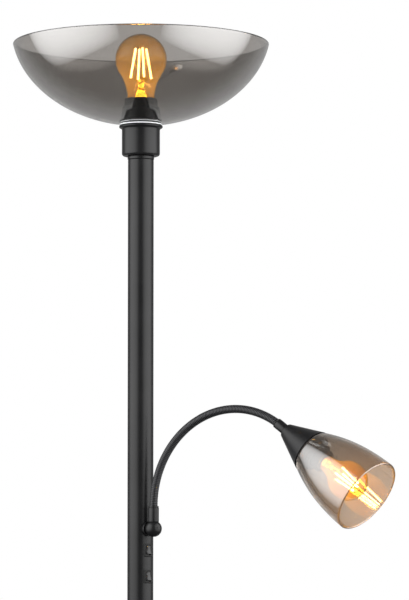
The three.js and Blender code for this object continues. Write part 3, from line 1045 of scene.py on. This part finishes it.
def cage_points(bottom, top, bottom_radius, top_radius, turn):
    ends = []
    for k in range(STICK_COUNT):
        a = math.radians(turn + 360 / STICK_COUNT * k)
        out = Vector((math.cos(a), math.sin(a), 0))
        ends.append((out * bottom_radius * MM + UP * bottom * MM, out * top_radius * MM + UP * top * MM))
    return ends


def light_sticks(name, ends, radius, place=None):
    shape = bmesh.new()
    for foot, tip in ends:
        rod_between(shape, foot, tip, radius * MM, 14, True)
    return to_object(shape, name, phosphor, place)


def support_wires(name, ends, stem_top, hub_rise, place=None):
    # Short wires run from the stem to each stick's foot, and meet in a hub above.
    shape = bmesh.new()
    hub = UP * (ends[0][1].z + hub_rise * MM)
    root = UP * stem_top * MM
    for foot, tip in ends:
        out = Vector((foot.x, foot.y, 0)) * 0.25
        rod_between(shape, root + out, foot, WIRE_RADIUS * MM, 6, False)
        rod_between(shape, tip, hub, TIP_WIRE_RADIUS * MM, 6, False)
    return to_object(shape, name, wire, place)


print("each bulb has", STICK_COUNT, "sticks")

# %% [markdown]
# A screw cap is rolled from thin brass. Its thread is drawn as round ridges set
# one pitch apart, which look the same as a screw at this size. A cosine gives
# their profile, and the tip contact closes the outline below.

# %% Screw cap
CAP_TURNS = 4


def cap_outline(radius, bottom, top, tip):
    pitch = (top - bottom) * 0.62 / CAP_TURNS
    outline = [(0, tip), (radius * 0.35, tip), (radius * 0.5, tip + 1.5), (radius * 0.86, bottom)]
    for k in range(CAP_TURNS * 6):
        depth = 0.045 * radius * (1 + math.cos(2 * math.pi * k / 6))
        outline.append((radius - depth, bottom + 1.5 + pitch * k / 6))
    return [*outline, (radius, top - 4), (radius, top), (0, top)]


print("each cap has", CAP_TURNS, "turns of thread")

# %% [markdown]
# The large bulb is the common A60 shape with an E27 cap. The stem widens to a
# flare at its foot, where real stems are fused to the neck, and the four sticks
# lean in towards the top.

# %% Main bulb
BULB_RADIUS = 30
BULB_NECK = 15.6
STICK_TURN = 71
STICK_RADII = (12.6, 6.4)


def main_bulb():
    bottom, top, _ = span("bulb_glass")
    centre = top - BULB_RADIUS
    fit(bulb_glass("large_bulb_glass", BULB_RADIUS, centre, BULB_NECK, bottom, -34),
        "stand", "amber_glass", "bulb_glass")
    low, high, radius = span("bulb_cap")
    cap = turned("large_bulb_cap", cap_outline(radius, low + 6, high, low), nickel, sides=96, ease=0.2)
    fit(cap, "stand", "nickel_cap", "bulb_cap")
    low, high, radius = span("bulb_neck")
    neck = [(radius, low), (BULB_NECK - 0.4, high), (BULB_NECK - 1.2, high), (radius - 3, low)]
    fit(turned("large_bulb_neck", neck, amber, ease=0.1), "stand", "clear_glass", "bulb_neck")


def main_stem():
    low, high, radius = span("bulb_stem")
    outline = [(0, low), (radius, low), (radius - 0.6, low + 5)]
    outline += sweep(
        (radius - 1.2, low + 9), (radius - 3, low + 15), (3.4, low + 17), (3.3, low + 22), 10,
    )
    outline += [(4.3, high - 4), (3.8, high - 1.2), (1.6, high), (0, high)]
    stem = turned("large_bulb_stem", outline, clear, sides=48, ease=0.3)
    fit(stem, "stand", "clear_glass", "bulb_stem")
    return high


def main_sticks(stem_top):
    bottom, top, _ = span("bulb_filaments")
    ends = cage_points(bottom + 1, top - 2, *STICK_RADII, STICK_TURN)
    fit(light_sticks("large_bulb_sticks", ends, 1.3), "stand", "filament", "bulb_filaments")
    fit(support_wires("large_bulb_wires", ends, stem_top - 1, 2.0), "stand", "nickel_cap")


main_bulb()
main_sticks(main_stem())

# %% [markdown]
# Moulded parts start as plain boxes, and a Bevel modifier rounds their edges.
# The bevel's own faces meet at small angles, so a lower sharp angle than that
# of turned pieces still keeps them smooth.

# %% Boxes and bevels
BEVEL_STEPS = 3
BEVEL_SHARP_ANGLE = 35


def block(shape, low, high):
    v = []
    for x in (low[0], high[0]):
        for y in (low[1], high[1]):
            for z in (low[2], high[2]):
                v.append(shape.verts.new(Vector((x, y, z)) * MM))
    for face in ((0, 1, 3, 2), (4, 6, 7, 5), (0, 4, 5, 1), (2, 3, 7, 6), (0, 2, 6, 4), (1, 5, 7, 3)):
        shape.faces.new([v[i] for i in face])


def bevelled(piece, width):
    bevel = piece.modifiers.new("edges", "BEVEL")
    bevel.width = width * MM
    bevel.segments = BEVEL_STEPS
    bevel.limit_method = "ANGLE"
    apply_modifiers(piece)
    smooth(piece.data, BEVEL_SHARP_ANGLE)
    return piece


print("bevels have", BEVEL_STEPS, "steps")

# %% [markdown]
# The switches are small rockers set in the pole. A moulded bezel starts inside
# the tube's skin and is flat in front, with a pocket for the rocker. The rocker
# is a shallow V on a pin, and rests with one end pressed in.

# %% Switches
SWITCH_WIDTH = 10
BEZEL_BACK = 13.6
POCKET_SIZE = (7, 11.4)
BODY_SIZE = (8.4, 13.4)
BODY_FRONT = 11
ROCKER_WIDTH = 6.2
ROCKER_TILT = 10


def switch_body(name, node):
    low, high = [Vector(c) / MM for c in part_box(node)]
    middle = (low.z + high.z) / 2
    shape = bmesh.new()
    block(shape, (BEZEL_BACK, -SWITCH_WIDTH / 2, low.z), (high.x, SWITCH_WIDTH / 2, high.z))
    piece = bevelled(to_object(shape, name, bezel_plastic), 0.8)
    side, rise = POCKET_SIZE[0] / 2, POCKET_SIZE[1] / 2
    pocket = bmesh.new()
    block(pocket, (10, -side, middle - rise), (high.x + 5, side, middle + rise))
    drill(piece, to_object(pocket, name + "_pocket", bezel_plastic))
    side, rise = BODY_SIZE[0] / 2, BODY_SIZE[1] / 2
    inside = bmesh.new()
    block(inside, (low.x, -side, middle - rise), (BODY_FRONT, side, middle + rise))
    return join_into(piece, to_object(inside, name + "_inside", bezel_plastic))


def rocker(name, pin):
    face = [(-2.2, -4.9), (3.2, -4.9), (2.75, -2.4), (2.5, 0), (2.75, 2.4), (3.2, 4.9), (-2.2, 4.9)]
    shape = bmesh.new()
    rows = []
    for y in (-ROCKER_WIDTH / 2, ROCKER_WIDTH / 2):
        rows.append([shape.verts.new(Vector((x, y, z)) * MM) for x, z in face])
    shape.faces.new(rows[0])
    shape.faces.new(rows[1][::-1])
    for k in range(len(face)):
        following = (k + 1) % len(face)
        shape.faces.new([rows[0][k], rows[1][k], rows[1][following], rows[0][following]])
    bmesh.ops.recalc_face_normals(shape, faces=shape.faces)
    place = Matrix.Translation(pin) @ Matrix.Rotation(math.radians(-ROCKER_TILT), 4, "Y")
    return bevelled(to_object(shape, name, rocker_plastic, place), 0.5)


for level in ("lower", "upper"):
    fit(switch_body(f"{level}_switch_bezel", f"switch_{level}_body"), "stand", "black_plastic",
        f"switch_{level}_body")
    pin = joint(f"{level}_rocker_tip")[0]
    tip = rocker(f"{level}_switch_rocker", pin)
    fit(tip, f"rocker_{level}", "black_plastic", f"switch_{level}_rocker")

# %% [markdown]
# The arm turns on a ball against the pole. A round seat takes the tube's curve
# on its back, the ball is turned with a flat where the ferrule stands, and the
# ferrule is a short sleeve that grips the gooseneck.

# %% Swivel
pivot, _ = joint("arm_swivel")
BALL_RADIUS = 9.5
SEAT_RADIUS = 8.5
SEAT_BACK = 11
SEAT_HOLE = 3.3
SEAT_CURVE = 15.2


def along_x(origin):
    return Matrix.Translation(origin) @ Matrix.Rotation(math.pi / 2, 4, "Y")


def swivel_seat():
    high = Vector(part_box("swivel_base")[1]) / MM
    outline = [(SEAT_RADIUS, SEAT_BACK), (SEAT_RADIUS, high.x)]
    outline += [(SEAT_HOLE, high.x), (SEAT_HOLE, SEAT_BACK)]
    seat = turned("swivel_seat", outline, coat, ease=0.5, place=along_x(Vector((0, 0, pivot.z))))
    low, top = pivot.z / MM - 15, pivot.z / MM + 15
    skin = turned_mesh([(0, low), (SEAT_CURVE, low), (SEAT_CURVE, top), (0, top)], 128)
    drill(seat, to_object(skin, "seat_skin", coat))
    return seat


def ball():
    # The outline runs from the pole side, along X, so its axis is the swivel's.
    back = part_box("swivel_ball")[0][0] / MM - pivot.x / MM
    start = math.degrees(math.asin(back / BALL_RADIUS))
    outline = [(0, back), *arc(0, 0, BALL_RADIUS, start, 90, 40)[:-1], (0, BALL_RADIUS)]
    piece = turned("swivel_ball_turned", outline, coat, sides=96, ease=0.3, place=along_x(pivot))
    top = bmesh.new()
    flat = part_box("swivel_ball")[1][2] / MM
    block(top, (0, -12, flat), (60, 12, flat + 20))
    drill(piece, to_object(top, "ball_flat", coat))
    return piece


def lower_ferrule():
    _, top, radius = span("lower_ferrule")
    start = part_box("swivel_ball")[1][2] / MM + 0.1
    outline = [(0, start), (radius - 0.5, start), (radius, start + 0.6), (radius, top - 2.2)]
    outline += [(radius - 0.45, top - 1.9), (radius - 0.45, top - 1.5), (radius, top - 1.2)]
    outline += [(radius - 0.5, top), (0, top)]
    place = Matrix.Translation((pivot.x, pivot.y, 0))
    return turned("ferrule_lower", outline, coat, sides=64, ease=0.25, place=place)


fit(swivel_seat(), "stand", "powder_coat", "swivel_base")
fit(ball(), "arm_foot", "powder_coat", "swivel_ball")
fit(lower_ferrule(), "arm_foot", "powder_coat", "lower_ferrule")

# %% [markdown]
# The gooseneck is a tube wound from two wires, so its skin is a fine screw
# thread that follows one round arc. Geometry Nodes are made for this: a curve
# is resampled, swept into a tube, and each point is pushed out by a wave of its
# distance along the curve plus its angle round it, which makes the winding a
# true helix. The neck bends at five joints in the frame, so it is cut into five
# pieces that meet halfway between joints.

# %% Gooseneck path
NECK_RADIUS = 4.75
NECK_BEND = 108
NECK_TURN = 123
NECK_LINKS = 6
NECK_JOINTS = (
    "neck_bend_lower", "neck_side_lower", "neck_bend_middle", "neck_side_upper", "neck_bend_upper",
)

_, side_axis = joint("neck_bend_lower")
neck_out = side_axis.cross(UP).normalized()
neck_start = Vector((pivot.x, pivot.y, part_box("lower_ferrule")[1][2]))
neck_length = math.radians(NECK_TURN) * NECK_BEND


def neck_point(distance):
    angle = distance / NECK_BEND
    reach = neck_out * (1 - math.cos(angle)) + UP * math.sin(angle)
    return neck_start + reach * NECK_BEND * MM


link = neck_length / NECK_LINKS
for number, name in enumerate(NECK_JOINTS, start=1):
    miss = (joint(name)[0] - neck_point(number * link)).length
    print(name, "is", round(miss / MM, 3), "mm from the drawn curve")

# %% [markdown]
# The tree takes the curve and the winding's sizes. Two captured attributes
# carry the distance along the curve and the turn round the tube to the mesh,
# and their sum drives the wave. The height of the wave is stored as "crest",
# which the blackened steel reads to paint the tops lighter, partly as wear and
# partly as a painted highlight, and the valleys darker as painted shade.

# %% Gooseneck tree


def winding_tree():
    group, given = start_tree("wound_gooseneck", [
        ("Geometry", "Geometry", None), ("Radius", "Float", 0.0045), ("Pitch", "Float", 0.002),
        ("Depth", "Float", 0.0004), ("Start", "Float", 0.0), ("Sides", "Int", 24),
        ("Steps Per Turn", "Float", 7.0),
    ])
    step = add(group, "ShaderNodeMath", {
        0: given.outputs["Pitch"], 1: given.outputs["Steps Per Turn"],
    }, operation="DIVIDE")
    even = add(group, "GeometryNodeResampleCurve", {
        "Curve": given.outputs["Geometry"], "Length": step.outputs[0],
    }, mode="LENGTH")
    rail = add(group, "GeometryNodeSplineParameter")
    along = add(group, "GeometryNodeCaptureAttribute", {"Geometry": even.outputs["Curve"]})
    along.capture_items.new("FLOAT", "Distance")
    group.links.new(rail.outputs["Length"], along.inputs["Distance"])
    circle = add(group, "GeometryNodeCurvePrimitiveCircle", {
        "Resolution": given.outputs["Sides"], "Radius": given.outputs["Radius"],
    })
    turn = add(group, "GeometryNodeSplineParameter")
    around = add(group, "GeometryNodeCaptureAttribute", {"Geometry": circle.outputs["Curve"]})
    around.capture_items.new("FLOAT", "Turn")
    group.links.new(turn.outputs["Factor"], around.inputs["Turn"])
    tube_mesh = add(group, "GeometryNodeCurveToMesh", {
        "Curve": along.outputs["Geometry"], "Profile Curve": around.outputs["Geometry"],
    }, {"Fill Caps": True})
    placed = add(group, "ShaderNodeMath", {
        0: along.outputs["Distance"], 1: given.outputs["Start"],
    }, operation="ADD")
    turns = add(group, "ShaderNodeMath", {
        0: placed.outputs[0], 1: given.outputs["Pitch"],
    }, operation="DIVIDE")
    phase = add(group, "ShaderNodeMath", {
        0: turns.outputs[0], 1: around.outputs["Turn"],
    }, operation="ADD")
    angle = add(
        group, "ShaderNodeMath", {0: phase.outputs[0]}, {1: 2 * math.pi}, operation="MULTIPLY",
    )
    wave = add(group, "ShaderNodeMath", {0: angle.outputs[0]}, operation="COSINE")
    crest = add(group, "ShaderNodeMapRange", {"Value": wave.outputs[0]}, {
        "From Min": -1.0, "From Max": 1.0,
    })
    # The square root makes each crest round and each valley sharp, as wire is.
    shaped = add(group, "ShaderNodeMath", {0: crest.outputs["Result"]}, {1: 0.5}, operation="POWER")
    sunk = add(group, "ShaderNodeMath", {0: shaped.outputs[0]}, {1: 1.0}, operation="SUBTRACT")
    push = add(group, "ShaderNodeMath", {
        0: sunk.outputs[0], 1: given.outputs["Depth"],
    }, operation="MULTIPLY")
    normal = add(group, "GeometryNodeInputNormal")
    offset = add(group, "ShaderNodeVectorMath", {
        0: normal.outputs["Normal"], "Scale": push.outputs[0],
    }, operation="SCALE")
    moved = add(group, "GeometryNodeSetPosition", {
        "Geometry": tube_mesh.outputs["Mesh"], "Offset": offset.outputs["Vector"],
    })
    kept = add(group, "GeometryNodeStoreNamedAttribute", {
        "Geometry": moved.outputs["Geometry"], "Value": shaped.outputs[0],
    }, {"Name": "crest"}, data_type="FLOAT", domain="POINT")
    even_skin = add(group, "GeometryNodeSetShadeSmooth", {"Geometry": kept.outputs["Geometry"]})
    return end_tree(group, given, even_skin.outputs["Geometry"])


winding = winding_tree()
print("gooseneck tree has", len(winding.nodes), "nodes")

# %% [markdown]
# Each piece of neck gets its own stretch of the curve. The winding starts at
# that stretch's distance from the foot of the neck, so the thread runs on from
# piece to piece.

# %% Gooseneck pieces
CURVE_STEP = 1.5
WINDING_PITCH = 2.0
WINDING_DEPTH = 0.45
NECK_SIDES = 28


def neck_curve(name, start, end):
    count = max(2, round((end - start) / CURVE_STEP))
    curve = bpy.data.curves.new(name, "CURVE")
    curve.dimensions = "3D"
    curve.twist_mode = "MINIMUM"
    line = curve.splines.new("POLY")
    line.points.add(count)
    for k in range(count + 1):
        line.points[k].co = (*neck_point(start + (end - start) * k / count), 1)
    carrier = bpy.data.objects.new(name, curve)
    bpy.context.scene.collection.objects.link(carrier)
    return carrier


def neck_piece(number, bodies, nodes):
    start = 0 if number == 1 else (number - 0.5) * link
    end = neck_length if number == NECK_LINKS - 1 else (number + 0.5) * link
    name = f"gooseneck_{number}"
    values = {"Radius": NECK_RADIUS * MM, "Pitch": WINDING_PITCH * MM, "Depth": WINDING_DEPTH * MM,
              "Start": start * MM, "Sides": NECK_SIDES, "Finish": oxide}
    piece = grow(name, winding, values, neck_curve(name, start, end))
    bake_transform(piece)
    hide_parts(*nodes)
    print(name, "has", len(piece.data.polygons), "faces and bends between", *bodies)


chain = ["arm_foot", *(f"neck_link_{k}" for k in range(2, NECK_LINKS)), "reading_head"]
for number in range(1, NECK_LINKS):
    stands_for = [f"neck_{number + 1}"] if number > 1 else ["neck_1", "neck_2"]
    neck_piece(number, chain[number - 1:number + 1], stands_for)

# %% [markdown]
# The reading head is built upright, along Z from the cone's top, and one matrix
# then carries each mesh to the end of the neck. The head leans a little more
# than the neck does, and the upper ferrule hides the step.

# %% Head placement
HEAD_PITCH = 36
FERRULE_LENGTH = 15.5
FERRULE_GAP = 0.6

pitch = math.radians(HEAD_PITCH)
head_axis = neck_out * math.cos(pitch) - UP * math.sin(pitch)
head_origin = neck_point(neck_length) + head_axis * (FERRULE_LENGTH + FERRULE_GAP) * MM
head_place = Matrix.Translation(head_origin) @ UP.rotation_difference(head_axis).to_matrix().to_4x4()
print("head axis", tuple(round(c, 3) for c in head_axis))

# %% [markdown]
# A short turned ferrule screws into the cone, with a grip groove near the neck.
# The cone is spun from thin sheet, so its wall is drawn at the true millimetre.
# Inside it sit the E14 lampholder, a rubber washer and the ribbed ring nut.

# %% Ferrule, cone and lampholder of the head
CONE_TOP = 8.9
CONE_CORNER = 1.6
CONE_RIM = 26
CONE_LENGTH = 42
SHADE_HOLE = 14.2


def head_piece(name, outline, material, slot, node, sides=96, ease=0.3):
    return fit(turned(name, outline, material, sides, ease, head_place), "reading_head", slot, node)


head_piece("ferrule_upper", [
    (0, -FERRULE_LENGTH), (5.4, -FERRULE_LENGTH), (6, 0.9 - FERRULE_LENGTH), (6, 1.4 - FERRULE_LENGTH),
    (5.55, 1.7 - FERRULE_LENGTH), (5.55, 2.1 - FERRULE_LENGTH), (6, 2.4 - FERRULE_LENGTH), (6, -0.3),
    (3, -0.3), (3, 6), (0, 6),
], coat, "powder_coat", "upper_ferrule", sides=64)
head_piece("head_cup", [
    (3.3, 0), *arc(CONE_TOP - CONE_CORNER, CONE_CORNER, CONE_CORNER, -90, -20, 8),
    (CONE_RIM - 0.4, CONE_LENGTH - 0.8),
    (CONE_RIM, CONE_LENGTH), (CONE_RIM - 1, CONE_LENGTH), (CONE_TOP - 1, CONE_CORNER + 1),
    (CONE_TOP - CONE_CORNER, 1), (3.3, 1),
], coat, "powder_coat", "head_cone")
head_piece("lampholder_small", [
    (2.2, 8), (6.4, 8), (10.5, 16), (13.5, 24), (13.5, 38.5), (18, 39), (18, 42), (13.5, 42),
    (13.5, 64), (9.8, 64), (9.8, 34), (2.2, 34),
], plastic, "black_plastic", "spot_lampholder", ease=0.4)
head_piece("shade_washer", [(20, 45.2), (20, 46.4), (SHADE_HOLE, 46.4), (SHADE_HOLE, 45.2)],
           rubber, "rubber", "spot_washer")
shade_nut = ring_nut("shade_ring_nut", [
    (20, 46.7), (20, 48.2), (17.5, 48.8), (17.5, 54), (SHADE_HOLE, 54), (SHADE_HOLE, 46.7),
], 28, 17.4, 0.7, 4.4, 51.3, head_place)
fit(shade_nut, "reading_head", "black_plastic", "spot_ring_nut")

# %% [markdown]
# The small shade is the bowl's glass again, blown as a flaring bell. Its collar
# is clamped under the black cone, the wall opens quickly and then runs almost
# straight, and the mouth is fire-polished like the bowl's rim. Its inner skin
# carries a painted gold glow, stored as "glow", that grows from the bulb's cap
# to the mouth and stands in for the bulb's light falling on the glass.

# %% Shade
SHADE_START = 42.3
SHADE_END = 132
SHADE_NECK = 25.6
SHADE_MOUTH = 44.5
SHADE_WALL = 2.5
SHADE_PAINTED_GLOW = 0.1
PAINTED_GLOW_START = 66


def shade():
    def flare(offset, end):
        return sweep(
            (SHADE_NECK - offset, SHADE_START + offset), (SHADE_NECK + 11 - offset, SHADE_START + 24.5),
            (SHADE_MOUTH - 0.8 - offset, SHADE_END - 40), (SHADE_MOUTH - offset, end), 40,
        )

    lip = SHADE_WALL / 2
    outside = flare(0, SHADE_END - lip)
    inside = flare(SHADE_WALL, SHADE_END - lip)
    bead = arc(SHADE_MOUTH - lip, SHADE_END - lip, lip, 0, 180, 8)[1:-1]
    shoulder = arc(SHADE_NECK - 2, SHADE_START + 2, 2, -90, -35, 5)
    outline = [(SHADE_HOLE, SHADE_START), *shoulder, *outside[1:], *bead, *inside[::-1],
               (SHADE_HOLE, SHADE_START + SHADE_WALL)]
    piece = to_object(turned_mesh(outline, 160), "shade_glass", light_smoke)
    # The inner skin's "glow" is a painted glow that rises towards the mouth.
    glow = piece.data.attributes.new("glow", "FLOAT", "POINT")
    edge = [(z, r) for r, z in inside]
    for vertex, item in zip(piece.data.vertices, glow.data):
        height = vertex.co.z / MM
        radius = math.hypot(vertex.co.x, vertex.co.y) / MM
        nearest = min(edge, key=lambda point: abs(point[0] - height))[1]
        rise = min(1, max(0, (height - PAINTED_GLOW_START) / (SHADE_END - PAINTED_GLOW_START)))
        item.value = SHADE_PAINTED_GLOW * rise if radius < nearest + SHADE_WALL / 2 else 0.0
    piece.data.transform(head_place)
    return piece


fit(shade(), "reading_head", "smoked_glass", "spot_shade")

# %% [markdown]
# The reading bulb is a small E14 globe. It is drawn by the same helpers as the
# large one, so both read as one family, and the head's matrix lays it down.

# %% Reading bulb
SMALL_BULB_RADIUS = 22.5
SMALL_BULB_CENTRE = 101
SMALL_BULB_NECK = 9
SMALL_BULB_START = 66
SMALL_STICKS = (86.5, 113.5)
SMALL_STICK_RADII = (8, 5)
SMALL_STICK_TURN = 20
SMALL_STEM_TOP = 85.1


def reading_bulb():
    glass = bulb_glass("small_bulb_glass", SMALL_BULB_RADIUS, SMALL_BULB_CENTRE, SMALL_BULB_NECK,
                       SMALL_BULB_START, -40, head_place)
    fit(glass, "reading_head", "amber_glass", "spot_bulb_glass")
    head_piece("small_bulb_cap", cap_outline(6.8, 48, 65.2, 45), nickel, "nickel_cap",
               "spot_bulb_cap", ease=0.1)
    head_piece("small_bulb_stem", [
        (0, 65.5), (5, 65.5), *sweep((4.8, 67), (4.2, 72), (2.2, 73), (2.2, 78), 8),
        (2.8, SMALL_STEM_TOP - 2.6), (2.4, SMALL_STEM_TOP - 0.6), (0, SMALL_STEM_TOP),
    ], clear, "clear_glass", "spot_bulb_stem", sides=48)
    ends = cage_points(*SMALL_STICKS, *SMALL_STICK_RADII, SMALL_STICK_TURN)
    fit(light_sticks("small_bulb_sticks", ends, 1.1, head_place), "reading_head", "filament",
        "spot_bulb_filament")
    wires = support_wires("small_bulb_wires", ends, SMALL_STEM_TOP - 1.1, 1.5, head_place)
    fit(wires, "reading_head", "nickel_cap")


reading_bulb()

# %% [markdown]
# The parts that stay hidden in use keep their CAD shape: the weight, the
# threaded studs, the tube inserts, nuts and leads. They still get their real
# finishes, because the lamp may be seen from below or taken apart.

# %% Finishes for the inner CAD parts


def dress(material, *nodes):
    for node in nodes:
        frame["nodes"][node].material_slots[0].material = material


dress(iron, "base_weight")
dress(zinc, "base_stud", "base_washer", "base_nut", "pole_foot_insert", "pole_coupler_lower",
      "pole_coupler_upper", "pole_top_insert", "head_nipple", "nipple_nut", "swivel_stud", "swivel_nut")
dress(nickel, "lampholder_contact")
dress(pvc, "pole_lead_lower", "pole_lead_upper")
print("dressed the inner CAD parts")

# %% [markdown]
# A plain pale floor finishes the studio. It isn't part of the lamp. The walls
# of light don't light it, as flags under them would see to, so only the even
# light of the room reaches it and the foot casts a soft shadow.

# %% Floor
FLOOR_SIZE = 60


def floor():
    shape = bmesh.new()
    bmesh.ops.create_grid(shape, x_segments=1, y_segments=1, size=FLOOR_SIZE / 2)
    pale = simple("studio_floor", "f0f0ee", "f4f4f2", 0.5, 0.6, 40, 0.0)
    return to_object(shape, "floor", pale)


ground = floor()
ground.visible_glossy = False
flagged = bpy.data.collections.new("flagged_from_the_walls")
flagged.objects.link(ground)
flagged.collection_objects[0].light_linking.link_state = "EXCLUDE"
for wall in (left_wall, right_wall, back_wall):
    wall.light_linking.receiver_collection = flagged
print("floor is", FLOOR_SIZE, "m across and flagged from the walls of light")
